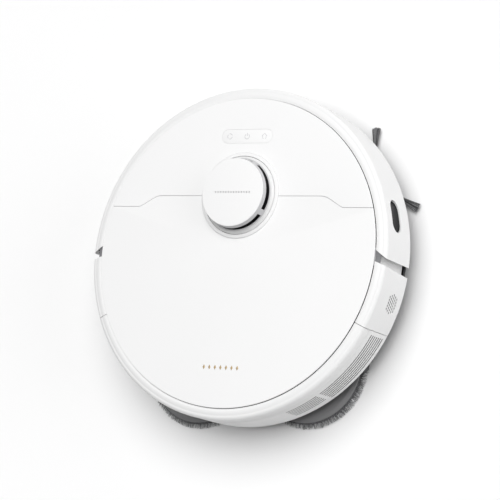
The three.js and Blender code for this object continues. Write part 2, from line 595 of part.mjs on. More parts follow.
for (const [name, side] of SIDES) {
  add(`wheel_bracket_${name}`, wheelBracket(side), DARK);
  add(`wheel_arm_${name}`, wheelArm(side), GREY);
  add(`wheel_hub_${name}`, wheelHub(side), GREY);
  add(`wheel_tyre_${name}`, wheelTyre(side), RUBBER);
  add(`suspension_spring_${name}`, suspensionSpring(side), STEEL);
  add(`guard_latch_${name}`, guardLatch(side), GREY);
  add(`mop_carrier_${name}`, mopCarrier(side), GREY);
  add(`mop_plate_${name}`, mopPlate(side), DARK);
  add(`mop_pad_${name}`, mopPad(side), FELT);
  add(`bumper_spring_${name}`, bumperSpring(side), STEEL);
}

export default robot;
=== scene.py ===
"""Robot vacuum: visible shells, mops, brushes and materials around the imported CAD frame."""
import json
import math
import random

import bmesh
import bpy
from mathutils import Matrix, Vector


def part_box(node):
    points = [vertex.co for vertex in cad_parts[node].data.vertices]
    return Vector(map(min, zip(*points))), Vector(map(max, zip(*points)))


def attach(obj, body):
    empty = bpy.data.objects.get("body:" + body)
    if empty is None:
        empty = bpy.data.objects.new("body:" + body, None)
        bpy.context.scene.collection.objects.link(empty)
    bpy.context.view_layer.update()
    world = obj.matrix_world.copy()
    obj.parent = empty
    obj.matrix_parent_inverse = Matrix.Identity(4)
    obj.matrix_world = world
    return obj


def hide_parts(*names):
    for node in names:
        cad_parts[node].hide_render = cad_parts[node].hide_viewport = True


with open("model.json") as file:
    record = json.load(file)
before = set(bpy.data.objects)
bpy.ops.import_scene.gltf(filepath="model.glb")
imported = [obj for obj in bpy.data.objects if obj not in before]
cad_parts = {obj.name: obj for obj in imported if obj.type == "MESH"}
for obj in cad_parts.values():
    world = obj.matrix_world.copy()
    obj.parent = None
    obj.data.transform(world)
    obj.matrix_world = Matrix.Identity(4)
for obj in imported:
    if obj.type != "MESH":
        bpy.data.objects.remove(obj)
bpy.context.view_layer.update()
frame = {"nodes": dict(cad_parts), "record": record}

MM = 0.001
random.seed(11)
STEPS = 256       # facets round a full circle


# ---- Sizes, in millimetres, in the robot's frame ---------------------------------------------
def box_mm(node):
    low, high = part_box(node)
    return low / MM, high / MM


def middle_of(node):
    low, high = box_mm(node)
    return ((low + high) / 2).to_2d()


BODY_R = box_mm("chassis")[1].x + 4.0              # 175
WALL_Z0 = box_mm("rear_cover")[0].z                # 24
RIM_Z = box_mm("rear_cover")[1].z                  # 79.5
TOP_Z = box_mm("top_lid")[1].z                     # 81
DISC_R = -box_mm("top_lid")[0].y                   # 162.8
RIM_IN_R = DISC_R + 0.3
WALL_T = 2.8
WALL_REACH = (160, 190)                            # radii of a cutter that goes through the wall
THROUGH_Z = (60, 100)                              # heights of a cutter that goes through the lid
FAR = 200.0                                        # well outside the body
RIM_T = 2.3
RIM_CREST_R = 165.6                                # highest line of the rim
RIM_VALLEY_R = 170.4                               # valley between the rim and the shoulder
RIM_SLOPE = 26                                     # the rim's slope in degrees at that valley
RIM_DIP = 1.0                                      # how far the shoulder's top lies below the rim's
COVE_DEPTH = 1.6
LIP_R = 158.4                                      # lid and cover are thin outside this
LID_Z = 77.9                                       # their underside inside it

SEAM_MIDDLE_Y = 58.8
SEAM_SIDE_Y = 47.0
SEAM_X = (100.5, 121.2)
SEAM_GAP = 0.45

TURRET = Vector((0.0, 59.3))
RING_R = 45.75
FOOT_R = 41.3
CAP_TOP_R = 35.9
CAP_TOP_Z = box_mm("turret_cap")[1].z

low, high = box_mm("button_strip")
PILL = ((low + high) / 2).to_2d()
PILL_SIZE = (high - low).to_2d()

REAR_SEAMS = (-154.8, -25.1)                       # degrees
SEAM_HALF = 0.09
SENSOR_DEG = 14.5
SENSOR_Z = 55.0
SENSOR_SIZE = (34.5, 19.5)
FRONT_WINDOW_Z = 51.0
FRONT_WINDOW_SIZE = (84.0, 24.0)
WINDOW_GAP = 0.8                                   # a window is this much smaller than its opening
WINDOW_DEPTH = 1.4                                 # and lies this far inside the wall's surface

SPEAKER_DEG = -14.7
SPEAKER_Z = 44.4
SPEAKER_R = 10.4
SPEAKER_SLOT = (3.1, 1.7)
SPEAKER_PITCH = (3.1, 3.8)
SPEAKER_TILT = 32

GAP_MIDDLES = (-0.6, 180.4)                        # degrees, the gaps at the bumper's two ends
LEDGE_Z = 76.0

VENTS = (
    dict(first=-53.2, last=-26.6, count=7, z=30.7),
    dict(first=-67.0, last=-54.6, count=6, z=34.8),
)
VENT_PITCH = 4.1
VENT_H = 2.0
SLOT_DEPTH = 0.4

POSTS = (-31, 59, 149, 239)                        # degrees, between the turret's windows
POST_HALF = 5.0
LENS_Z = 87.8

INK_H = 0.12                                       # how far icons and inlays stand up
BUTTON_PITCH = 20.7

MOP_CENTRES = {"left": middle_of("mop_pad_left"), "right": middle_of("mop_pad_right")}
MOP_STRANDS = 1200
FRINGE_R = 67.6
HUB = middle_of("side_brush_motor").to_3d()
TUFTS = (94, 214, 334)                             # degrees
TUFT_STRANDS = 90

PAN_PROFILE = ((0, 10), (157, 10, 6), (171, 23.7, 0.4), (168.4, 23.7, 0.4), (155.6, 12.6, 4), (0, 12.6))
PAN_Z = 10.0
PAN_R = 170.9
DOME_R, DOME_Z = 71.6, 23.6                        # the bulge in the pan over each mop
BAY_R, BAY_Z = 69.0, 21.2                          # and the hollow in it
THROUGH_PAN_Z = (-5, 40)
MOP_SHAFT_R = 16.5
WHEEL_OPENING = (118.25, -1.5, 45.5, 93, 4)        # x, y, width, length, corner radius
BRUSH_OPENING = (0, 8, 169, 62, 3)
CASTER_HOLE_Y, CASTER_HOLE_R = 125, 26.5
CLIFFS = ((-58, 128), (58, 128), (-132, 60), (132, 53))
CONTACT = (24, 88, 17, 9)                          # x, y, length, width
SCREWS = ((-30, 52), (30, 52), (-86, 118), (86, 66), (-118, 90), (-90, -24), (90, -24), (0, -36), (-148, -20),
          (148, -20))

WHEEL_Y, WHEEL_R = -8.0, 36.0
TYRE_X = (115.5, 137.5)
TYRE_BORE = 30.1
TYRE_BARS = 30
SPOKES = 6
ROLLER_Y, ROLLER_Z = 8, 25
ROLLER_HALF = 75.0
ROLLER_FINS = 6
ROLLER_TWIST = 48                                  # degrees from the middle to either end
CASTER_Y, CASTER_Z = 118, 15

FLOOR_HALF = 6000
WORLD_STRENGTH = 0.13
LIGHTS = (                                         # direction it comes from, softness in degrees, strength
    ("overhead", (0.18, 0.26, 1.0), 60, 2.84),
    ("from_the_right", (1.0, 0.15, 0.2), 50, 0.9),
)


# ---- Mesh helpers ----------------------------------------------------------------------------
def polar(r, degrees):
    a = math.radians(degrees)
    return (r * math.cos(a), r * math.sin(a))


def linked(name, data):
    """A new object in the scene for a mesh, a curve, a light or a camera."""
    obj = bpy.data.objects.new(name, data)
    bpy.context.scene.collection.objects.link(obj)
    return obj


def mesh_object(name, verts, faces):
    mesh = bpy.data.meshes.new(name)
    mesh.from_pydata([tuple(c * MM for c in v) for v in verts], [], faces)
    mesh.validate()
    return linked(name, mesh)


def skin(sections, n, closed=True, wraps=True):
    """Faces between sections of n points each. A skin that doesn't wrap round has its ends capped."""
    faces = []
    for i in range(sections if wraps else sections - 1):
        j = (i + 1) % sections
        for k in range(n if closed else n - 1):
            m = (k + 1) % n
            faces.append((i * n + k, j * n + k, j * n + m, i * n + m))
    if not wraps:
        faces.append(tuple(range(n - 1, -1, -1)))
        faces.append(tuple((sections - 1) * n + k for k in range(n)))
    return faces


def tidy_mesh(obj, sharp=35):
    """Welds doubled vertices, turns faces outwards and smooths all but the sharp edges."""
    bm = bmesh.new()
    bm.from_mesh(obj.data)
    bmesh.ops.remove_doubles(bm, verts=bm.verts, dist=2e-6)
    bmesh.ops.dissolve_degenerate(bm, edges=bm.edges, dist=1e-6)
    bmesh.ops.recalc_face_normals(bm, faces=bm.faces)
    bm.to_mesh(obj.data)
    bm.free()
    obj.data.shade_smooth()
    obj.data.set_sharp_from_angle(angle=math.radians(sharp))
    return obj


def rounded(points, closed=True, steps=6):
    """An outline from (x, y) or (x, y, radius) points, with an arc at each point that has a radius."""
    out = []
    n = len(points)
    for i, p in enumerate(points):
        r = p[2] if len(p) > 2 else 0
        here = Vector(p[:2])
        if r <= 0 or (not closed and i in (0, n - 1)):
            out.append(tuple(here))
            continue
        before = (Vector(points[i - 1][:2]) - here).normalized()
        after = (Vector(points[(i + 1) % n][:2]) - here).normalized()
        half = before.angle(after) / 2
        reach = r / math.tan(half)
        centre = here + (before + after).normalized() * (r / math.sin(half))
        start = here + before * reach - centre
        turn = start.angle_signed(here + after * reach - centre)
        for k in range(steps + 1):
            a = -turn * k / steps
            out.append(tuple(centre + Matrix.Rotation(a, 2) @ start))
    return out


def lathe(name, profile, centre=(0, 0), steps=STEPS):
    """Full turn of an (r, z) profile that closes on itself or starts and ends on the axis."""
    verts = []
    for i in range(steps):
        a = 2 * math.pi * i / steps
        for r, z in profile:
            verts.append((r * math.cos(a) + centre[0], r * math.sin(a) + centre[1], z))
    closed = profile[0][0] > 1e-6
    return tidy_mesh(mesh_object(name, verts, skin(steps, len(profile), closed)))


def cylinder(name, r, z0, z1, centre=(0, 0), steps=STEPS):
    return lathe(name, [(0, z0), (r, z0), (r, z1), (0, z1)], centre, steps)


def lathe_x(name, profile, x, y, z, steps=STEPS):
    """Full turn about an axis along X through (y, z); the profile's second value runs along X."""
    obj = lathe(name, profile, steps=steps)
    obj.data.transform(Matrix.Translation(Vector((x, y, z)) * MM) @ Matrix.Rotation(math.pi / 2, 4, "Y"))
    return obj


def lathe_y(name, profile, x, y, z, steps=STEPS):
    """Full turn about an axis along Y through (x, z); the profile's second value runs along Y."""
    obj = lathe(name, profile, steps=steps)
    obj.data.transform(Matrix.Translation(Vector((x, y, z)) * MM) @ Matrix.Rotation(-math.pi / 2, 4, "X"))
    return obj


def ring_part(name, profile, start, end, steps):
    """Part of a ring: start and end give the angle, in degrees, for each (r, z)."""
    verts = []
    for i in range(steps + 1):
        for r, z in profile:
            a = start(r, z) + (end(r, z) - start(r, z)) * i / steps
            verts.append((*polar(r, a), z))
    return tidy_mesh(mesh_object(name, verts, skin(steps + 1, len(profile), wraps=False)))


def arc_part(name, profile, first, last, steps):
    """Part of a ring between two angles, in degrees."""
    return ring_part(name, profile, lambda *_: first, lambda *_: last, steps)


def flat_curve(dimensions, points, cyclic):
    """A curve through (x, y) points in the plane z = 0."""
    curve = bpy.data.curves.new("curve", "CURVE")
    curve.dimensions = dimensions
    curve.bevel_resolution = 3
    spline = curve.splines.new("POLY")
    spline.points.add(len(points) - 1)
    for point, (x, y) in zip(spline.points, points):
        point.co = (x * MM, y * MM, 0, 1)
    spline.use_cyclic_u = cyclic
    return curve


def curve_mesh(name, curve, move):
    """Turns the curve into a mesh object and moves its mesh by the matrix."""
    holder = linked(name + "_curve", curve)
    graph = bpy.context.evaluated_depsgraph_get()
    mesh = bpy.data.meshes.new_from_object(holder.evaluated_get(graph))
    bpy.data.objects.remove(holder)
    bpy.data.curves.remove(curve)
    mesh.transform(move)
    return tidy_mesh(linked(name, mesh))


def plate(name, outline, z0, z1, bevel):
    """Flat piece with rounded top and bottom edges."""
    curve = flat_curve("2D", outline, True)
    curve.fill_mode = "BOTH"
    curve.extrude = ((z1 - z0) / 2 - bevel) * MM
    curve.bevel_depth = bevel * MM
    curve.offset = -bevel * MM
    return curve_mesh(name, curve, Matrix.Translation((0, 0, (z0 + z1) / 2 * MM)))


def stadium(cx, cy, w, h, steps=16):
    out = []
    for side, first in ((1, -90), (-1, 90)):
        for k in range(steps + 1):
            x, y = polar(h / 2, first + 180 * k / steps)
            out.append((cx + side * (w - h) / 2 + x, cy + y))
    return out


def arc_points(r, first, last, steps, centre=(0, 0)):
    return [(centre[0] + x, centre[1] + y) for x, y in
            (polar(r, first + (last - first) * k / steps) for k in range(steps + 1))]


def prism(name, outline, z0, z1):
    n = len(outline)
    verts = [(x, y, z) for z in (z0, z1) for x, y in outline]
    faces = [tuple(range(n - 1, -1, -1)), tuple(range(n, 2 * n))]
    faces += [(i, (i + 1) % n, n + (i + 1) % n, n + i) for i in range(n)]
    return tidy_mesh(mesh_object(name, verts, faces))


def block(name, x0, x1, y0, y1, z0, z1):
    return prism(name, [(x0, y0), (x1, y0), (x1, y1), (x0, y1)], z0, z1)


def upright(obj, degrees):
    """Turns a prism made in plan so that it points out of the wall at that angle."""
    stand = Matrix.Rotation(math.pi / 2, 4, "X")
    face = Matrix.Rotation(math.pi / 2, 4, "Z")
    turn = Matrix.Rotation(math.radians(degrees), 4, "Z")
    obj.data.transform(turn @ face @ stand)
    return obj


def join(name, objs):
    bm = bmesh.new()
    for obj in objs:
        bm.from_mesh(obj.data)
        bpy.data.objects.remove(obj)
    mesh = bpy.data.meshes.new(name)
    bm.to_mesh(mesh)
    bm.free()
    return linked(name, mesh)


def apply_modifiers(obj):
    graph = bpy.context.evaluated_depsgraph_get()
    mesh = bpy.data.meshes.new_from_object(obj.evaluated_get(graph))
    obj.modifiers.clear()
    obj.data = mesh
    return obj


def carve(obj, cutters, operation="DIFFERENCE"):
    """Cuts all the cutters out of obj. Cutters must not overlap each other."""
    tool = join(obj.name + "_tool", cutters)
    mod = obj.modifiers.new("carve", "BOOLEAN")
    mod.operation = operation
    mod.solver = "EXACT"
    mod.object = tool
    apply_modifiers(obj)
    bpy.data.objects.remove(tool)
    return tidy_mesh(obj)


def fused(objs):
    """One object made of several that may overlap."""
    base = objs.pop()
    for obj in objs:
        carve(base, [obj], "UNION")
    return base


def soften(obj, width, segments=3, angle=40):
    """Rounds the sharp edges of obj."""
    mod = obj.modifiers.new("soften", "BEVEL")
    mod.width = width * MM
    mod.segments = segments
    mod.limit_method = "ANGLE"
    mod.angle_limit = math.radians(angle)
    mod.harden_normals = False
    return obj


# ---- Materials -------------------------------------------------------------------------------
class Nodes:
    """Short way to build a procedural material on a Principled shader."""

    def __init__(self, name):
        self.material = bpy.data.materials.new(name)
        self.material.use_nodes = True
        self.tree = self.material.node_tree
        self.shader = self.tree.nodes["Principled BSDF"]
        self.coords = self.tree.nodes.new("ShaderNodeTexCoord").outputs["Object"]

    def node(self, kind, **inputs):
        node = self.tree.nodes.new("ShaderNode" + kind)
        for key, value in inputs.items():
            socket = node.inputs[key.replace("_", " ")]
            if isinstance(value, bpy.types.NodeSocket):
                self.tree.links.new(value, socket)
            else:
                socket.default_value = value
        return node

    def noise(self, scale, detail=3.0, roughness=0.5, stretch=(1, 1, 1)):
        spot = self.node("Mapping", Vector=self.coords, Scale=stretch)
        return self.node("TexNoise", Vector=spot.outputs[0], Scale=scale, Detail=detail,
                         Roughness=roughness).outputs["Fac"]

    def ramp(self, factor, stops):
        node = self.node("ValToRGB", Fac=factor)
        elements = node.color_ramp.elements
        while len(elements) < len(stops):
            elements.new(0.5)
        for element, (position, color) in zip(elements, stops):
            element.position = position
            element.color = (*color, 1)
        return node.outputs["Color"]

    def spread(self, factor, low, high):
        node = self.node("MapRange", Value=factor)
        node.inputs["To Min"].default_value = low
        node.inputs["To Max"].default_value = high
        return node.outputs["Result"]

    def bump(self, height, strength, distance):
        node = self.node("Bump", Height=height, Strength=strength, Distance=distance)
        self.tree.links.new(node.outputs["Normal"], self.shader.inputs["Normal"])

    def link(self, socket, output):
        self.tree.links.new(output, self.shader.inputs[socket])

    def fix(self, **values):
        for key, value in values.items():
            self.shader.inputs[key.replace("_", " ")].default_value = value


def moulded(name, color, rough, grain, depth, drift):
    """Moulded plastic: slow drift of tone and gloss over the part, and a fine grain."""
    m = Nodes(name)
    slow = m.noise(9.0, 2.0)
    fine = m.noise(grain, 2.0, 0.6)
    dark = tuple(c * (1 - drift) for c in color)
    m.link("Base Color", m.ramp(slow, [(0.3, dark), (0.7, color)]))
    mottled = m.noise(60.0, 4.0)
    m.link("Roughness", m.spread(mottled, rough - 0.04, rough + 0.04))
    m.bump(fine, depth, 0.0002)
    return m.material


def gloss_black(name):
    m = Nodes(name)
    tones = [(0.3, (0.004, 0.004, 0.005)), (0.8, (0.012, 0.012, 0.014))]
    m.link("Base Color", m.ramp(m.noise(14.0), tones))
    m.link("Roughness", m.spread(m.noise(120.0, 5.0), 0.05, 0.16))
    m.bump(m.noise(30.0), 0.02, 0.0003)
    m.fix(IOR=1.14)
    return m.material


def rubber(name, tone):
    m = Nodes(name)
    dark = tuple(c * 0.7 for c in tone)
    m.link("Base Color", m.ramp(m.noise(40.0, 5.0), [(0.3, dark), (0.7, tone)]))
    m.link("Roughness", m.spread(m.noise(300.0), 0.62, 0.85))
    m.bump(m.noise(1600.0, 3.0, 0.7), 0.2, 0.0002)
    return m.material


def metal(name, tone, rough=0.28):
    m = Nodes(name)
    lines = m.noise(60.0, 3.0, 0.6, (1, 60, 60))
    m.link("Base Color", m.ramp(lines, [(0.2, tuple(c * 0.85 for c in tone)), (0.8, tone)]))
    m.link("Roughness", m.spread(lines, rough - 0.08, rough + 0.1))
    m.bump(lines, 0.08, 0.0001)
    m.fix(Metallic=1.0)
    return m.material


def pile(name, dark, light, scale=700.0):
    """Microfibre: clumps of yarn, lighter on their tops and darker in the hollows between them, which is painted
    shade.
    """
    m = Nodes(name)
    clumps = m.noise(scale, 4.0, 0.7)
    # painted shade: the colour follows the same clumps as the bump, darker where they are low
    m.link("Base Color", m.ramp(clumps, [(0.35, dark), (0.62, light)]))
    m.link("Roughness", m.spread(clumps, 0.85, 1.0))
    m.bump(clumps, 0.6, 0.0008)
    m.fix(Sheen_Weight=0.4, Sheen_Roughness=0.5)
    return m.material


def strands(name, dark, light):
    """Loose fibres: each strand has a tone of its own, darker towards its root as painted shade, stored per vertex.
    """
    m = Nodes(name)
    tone = m.node("Attribute")
    tone.attribute_name = "tone"
    m.link("Base Color", m.ramp(tone.outputs["Fac"], [(0.0, dark), (1.0, light)]))
    m.link("Roughness", m.spread(m.noise(500.0), 0.6, 0.9))
    m.bump(m.noise(2000.0), 0.1, 0.0001)
    return m.material


def smoked(name):
    m = Nodes(name)
    m.link("Base Color", m.ramp(m.noise(20.0), [(0.3, (0.10, 0.10, 0.11)), (0.7, (0.14, 0.14, 0.15))]))
    m.link("Roughness", m.spread(m.noise(200.0), 0.1, 0.22))
    m.bump(m.noise(400.0), 0.03, 0.0002)
    m.fix(Transmission_Weight=0.35, IOR=1.5, Coat_Weight=0.3, Coat_Roughness=0.05)
    return m.material


def gold(name):
    m = Nodes(name)
    m.link("Base Color", m.ramp(m.noise(200.0), [(0.3, (0.50, 0.36, 0.19)), (0.7, (0.62, 0.47, 0.28))]))
    m.link("Roughness", m.spread(m.noise(600.0), 0.32, 0.45))
    m.bump(m.noise(1500.0), 0.05, 0.0001)
    m.fix(Metallic=0.6)
    return m.material


MATERIALS = {
    "white_plastic": moulded("white_plastic", (0.90, 0.90, 0.90), 0.6, 1500.0, 0.03, 0.010),
    "pale_plastic": moulded("pale_plastic", (0.60, 0.60, 0.61), 0.48, 800.0, 0.1, 0.04),
    "grey_plastic": moulded("grey_plastic", (0.20, 0.20, 0.21), 0.5, 800.0, 0.12, 0.08),
    "dark_plastic": moulded("dark_plastic", (0.030, 0.030, 0.033), 0.46, 700.0, 0.15, 0.15),
    "black_gloss": gloss_black("black_gloss"),
    "rubber": rubber("rubber", (0.028, 0.028, 0.030)),
    "steel": metal("steel", (0.62, 0.62, 0.64)),
    "motor_can": moulded("motor_can", (0.16, 0.16, 0.17), 0.42, 600.0, 0.1, 0.1),
    "mop_fabric": pile("mop_fabric", (0.035, 0.035, 0.038), (0.14, 0.14, 0.145)),
    "bristle": strands("bristle", (0.06, 0.06, 0.063), (0.50, 0.50, 0.51)),
    "smoked_plastic": smoked("smoked_plastic"),
    "filter_paper": pile("filter_paper", (0.55, 0.55, 0.52), (0.82, 0.82, 0.79), 400.0),
    "circuit_board": moulded("circuit_board", (0.015, 0.12, 0.06), 0.35, 500.0, 0.1, 0.3),
    "battery_wrap": moulded("battery_wrap", (0.02, 0.08, 0.30), 0.3, 200.0, 0.1, 0.1),
}
FRINGE = strands("mop_fringe", (0.12, 0.12, 0.125), (0.92, 0.92, 0.93))
# painted shade: the shells and the turret ring are a darker copy of the lid's white plastic, dimmed for the shade
# on their walls
SHADED_SHELL_WHITE = moulded("shell_white_painted_shade", (0.85, 0.85, 0.85), 0.5, 1500.0, 0.03, 0.010)
# painted shade: the turret's collar is a greyer copy of the white plastic, for the shade round the foot of the
# turret
SHADED_COLLAR_WHITE = moulded("collar_white_painted_shade", (0.80, 0.80, 0.80), 0.45, 1500.0, 0.03, 0.015)
ICON = moulded("icon_ink", (0.62, 0.62, 0.63), 0.4, 800.0, 0.05, 0.05)
GOLD = gold("gold_inlay")
MOP_TOP = moulded("mop_top", (0.23, 0.23, 0.235), 0.62, 700.0, 0.25, 0.1)
SHADOW = moulded("shadow_gap", (0.045, 0.045, 0.048), 0.6, 500.0, 0.1, 0.1)


def place(obj, body, slot, *nodes, material=None):
    """Gives a piece its finish and its body, and hides the CAD nodes it stands for."""
    obj.data.materials.clear()
    obj.data.materials.append(material or MATERIALS[slot])
    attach(obj, body)
    if nodes:
        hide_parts(*nodes)
    return obj


# ---- Outer shells ----------------------------------------------------------------------------
def shell_profile(cove=()):
    """Upright wall, a rounded shoulder up to a valley, and a rim that bulges between it and the lid."""
    radius = BODY_R - RIM_VALLEY_R - 0.4
    foot_z = RIM_Z - RIM_DIP - radius
    shoulder = [(BODY_R - radius + x, foot_z + z) for x, z in arc_points(radius, 0, 86, 18)]
    bulge_r = (RIM_VALLEY_R - RIM_CREST_R) / math.sin(math.radians(RIM_SLOPE))
    bulge = [(RIM_CREST_R + x, RIM_Z - bulge_r + z)
             for x, z in arc_points(bulge_r, 90 - RIM_SLOPE, 90, 8)]
    return rounded([
        (BODY_R - WALL_T, WALL_Z0, 0.5), (BODY_R - 1.2, WALL_Z0), (BODY_R, WALL_Z0 + 1.6, 0.8), *cove,
        *shoulder, *bulge, (RIM_IN_R, RIM_Z - 0.6, 0.6),
        (RIM_IN_R, RIM_Z - RIM_T, 0.4), (BODY_R - WALL_T - 1.0, RIM_Z - RIM_T - 0.1),
        (BODY_R - WALL_T, RIM_Z - RIM_T - 1.1),
    ], steps=8)


def cove_line():
    """The shallow cove between the rear cover's shoulder and its vents."""
    foot, top, steps = 57.0, 70.0, 12
    return [(BODY_R - COVE_DEPTH / 2 * (1 - math.cos(2 * math.pi * k / steps)), foot + (top - foot) * k / steps)
            for k in range(steps + 1)]


def bumper_end(r, *_):
    """Angle at which the bumper's right end stops: it slants back from the lid to the wall."""
    inner, outer = (164.6, 3.4), (BODY_R, -4.0)
    t = (r - inner[0]) / (outer[0] - inner[0])
    return math.degrees(math.asin((inner[1] + (outer[1] - inner[1]) * t) / r))


def shell_end(r, z):
    """Angle at which the right side shell starts, a little further back at its foot."""
    y = -6.9 - (r - RIM_IN_R) * 0.36 - max(0.0, (RIM_Z - z)) * 0.06
    return math.degrees(math.asin(y / r))


def window_opening(z, size, degrees):
    return upright(prism("cut", stadium(0, z, *size), *WALL_REACH), degrees)


def bumper():
    obj = ring_part("bumper", shell_profile(), bumper_end, lambda r, z: 180 - bumper_end(r, z), STEPS // 2)
    carve(obj, [window_opening(SENSOR_Z, SENSOR_SIZE, SENSOR_DEG),
                window_opening(FRONT_WINDOW_Z, FRONT_WINDOW_SIZE, 90)])
    soften(obj, 0.5)
    place(obj, "bumper", "white_plastic", "bumper", material=SHADED_SHELL_WHITE)


def window(name, degrees, z, size, hollow):
    """Glossy window that follows the wall's curve, a little below its surface."""
    width, height = size[0] - WINDOW_GAP, size[1] - WINDOW_GAP
    r = BODY_R - WINDOW_DEPTH
    half = math.degrees(width / 2 / BODY_R)
    profile = [(r - 1.8, z - height / 2), (r, z - height / 2), (r - hollow, z),
               (r, z + height / 2), (r - 1.8, z + height / 2)]
    obj = arc_part(name, profile, degrees - half, degrees + half, 40)
    trim = upright(prism("trim", stadium(0, z, width, height), r - 20, r + 20), degrees)
    carve(obj, [trim], "INTERSECT")
    place(obj, "bumper", "black_gloss", name)


def side_shell(name):
    left = "left" in name
    if left:
        start, end = (lambda *_: REAR_SEAMS[0] - SEAM_HALF), (lambda r, z: -180 - shell_end(r, z))
    else:
        start, end = shell_end, (lambda *_: REAR_SEAMS[1] + SEAM_HALF)
    obj = ring_part(name, shell_profile(), start, end, STEPS // 10)
    if not left:
        carve(obj, speaker_slots())
        # dark strip behind the speaker slots: painted shade
        slot_shade_backing("speaker_slot_shade", SPEAKER_DEG - 4.2, SPEAKER_DEG + 4.2, SPEAKER_Z - 11, SPEAKER_Z + 11)
    soften(obj, 0.35 if left else 0.12, 2)
    place(obj, "root", "white_plastic", name, material=SHADED_SHELL_WHITE)


def ledges(name, slot, r0, r1, top, edge):
    """A pair of ledges on the guide wall, one in the gap behind each end of the bumper."""
    profile = rounded([(r0, LEDGE_Z), (r1, LEDGE_Z), (r1, top, edge), (r0, top, edge)])
    parts = [arc_part("ledge", profile, middle - 3.4, middle + 3.0, 16) for middle in GAP_MIDDLES]
    place(join(name, parts), "root", slot)


def speaker_slots():
    """Short slanted slots in staggered rows that fill a circle."""
    tilt = Matrix.Rotation(math.radians(SPEAKER_TILT), 2)
    cutters = []
    for row in range(-2, 3):
        for col in range(-4, 5):
            spot = Vector(((col + (row % 2) / 2) * SPEAKER_PITCH[0], row * SPEAKER_PITCH[1]))
            if spot.length < SPEAKER_R:
                outline = [tuple(tilt @ Vector(q) + spot) for q in stadium(0, 0, *SPEAKER_SLOT, 6)]
                slot = upright(prism("cut", outline, *WALL_REACH), SPEAKER_DEG)
                slot.data.transform(Matrix.Translation((0, 0, SPEAKER_Z * MM)))
                cutters.append(slot)
    return cutters


def rear_cover():
    obj = ring_part("rear_cover", shell_profile(cove_line()), lambda *_: REAR_SEAMS[0] + SEAM_HALF,
                    lambda *_: REAR_SEAMS[1] - SEAM_HALF, STEPS // 2)
    near, far = WALL_REACH
    cutters = []
    for vent in VENTS:
        for i in range(vent["count"]):
            z = vent["z"] + i * VENT_PITCH
            profile = [(near, z), (far, z), (far, z + VENT_H), (near, z + VENT_H)]
            cutters.append(arc_part("cut", profile, vent["first"], vent["last"], 24))
    carve(obj, cutters)
    soften(obj, 0.12, 2)
    place(obj, "root", "white_plastic", "rear_cover", material=SHADED_SHELL_WHITE)
    for vent in VENTS:
        top = vent["z"] + (vent["count"] - 1) * VENT_PITCH + VENT_H + 0.6
        # dark strip behind each row of vents: painted shade
        slot_shade_backing("vent_slot_shade", vent["first"] - 0.3, vent["last"] + 0.3, vent["z"] - 0.6, top)


def slot_shade_backing(name, first, last, z0, z1):
    """Dark strip inside the wall, just under its surface, which is the floor of the slots: painted shade that
    stands in for the dark depth of the openings.
    """
    r0, r1 = BODY_R - WALL_T + 0.2, BODY_R - SLOT_DEPTH
    obj = arc_part(name, [(r0, z0), (r1, z0), (r1, z1), (r0, z1)], first, last, 40)
    place(obj, "root", "grey_plastic", material=SHADOW)


# ---- Lid, front cover and the seam between them ----------------------------------------------
def seam_line(offset):
    """The seam from left to right, with small arcs where it bends."""
    wide, tight = 20.0, 9.0
    side, middle = SEAM_SIDE_Y + offset, SEAM_MIDDLE_Y + offset
    near, far = SEAM_X
    return rounded([
        (-FAR, side), (-far, side, tight), (-near, middle, wide),
        (near, middle, wide), (far, side, tight), (FAR, side),
    ], closed=False)


def disc_profile():
    return rounded([
        (0, LID_Z), (LIP_R, LID_Z), (LIP_R, RIM_Z + 0.15), (DISC_R, RIM_Z + 0.15, 0.1),
        (DISC_R, TOP_Z, 0.6), (0, TOP_Z),
    ], closed=False)


def cover(name, keep, body, holes):
    obj = lathe(name, disc_profile())
    carve(obj, [prism("keep", keep, *THROUGH_Z)], "INTERSECT")
    carve(obj, holes)
    soften(obj, 0.3)
    place(obj, body, "white_plastic", name)


def turret_hole():
    outline = arc_points(RING_R + 0.12, 0, 360 - 360 / STEPS, STEPS - 1, TURRET)
    return prism("hole", outline, *THROUGH_Z)


def lid_and_cover():
    front = seam_line(SEAM_GAP / 2) + [(FAR, FAR), (-FAR, FAR)]
    rear = seam_line(-SEAM_GAP / 2) + [(FAR, -FAR), (-FAR, -FAR)]
    pill = prism("pill", stadium(*PILL, PILL_SIZE.x + 0.3, PILL_SIZE.y + 0.3), *THROUGH_Z)
    cover("front_cover", front, "root", [turret_hole(), pill])
    cover("top_lid", rear, "lid", [turret_hole()])


